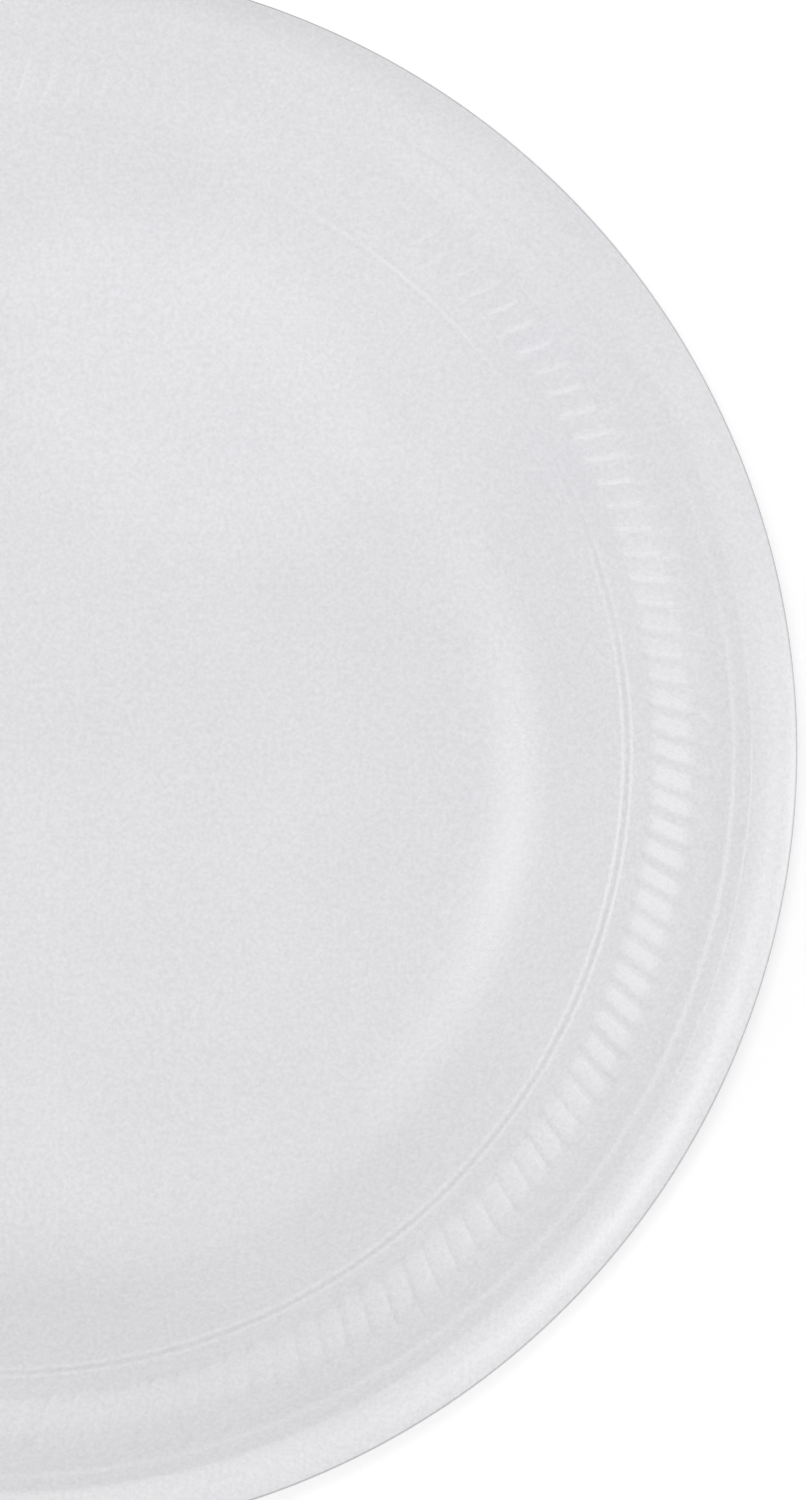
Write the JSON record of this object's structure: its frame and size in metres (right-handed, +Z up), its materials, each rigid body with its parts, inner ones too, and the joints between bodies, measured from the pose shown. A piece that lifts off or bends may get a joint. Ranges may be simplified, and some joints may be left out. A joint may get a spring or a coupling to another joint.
{
  "type": "foam plate",
  "caption": "Round white disposable foam plate with a flat floor, a flared wall, a ring of slanted ribs and a rolled-down lip, for serving food.",
  "frame": {"origin": "centre of the flat underside, on the surface the plate rests on", "axes": "+Z up along the plate's axis, out of the side that holds the food; X and Y are alike, and the ribs turn clockwise as they run outward, seen from above"},
  "size_m": [0.225, 0.225, 0.0181],
  "materials": {
    "foam": "white closed-cell polystyrene foam with a smooth skin, soft sheen and fine grain"
  },
  "bodies": {
    "root": {"plate": "foam"}
  },
  "joints": []
}
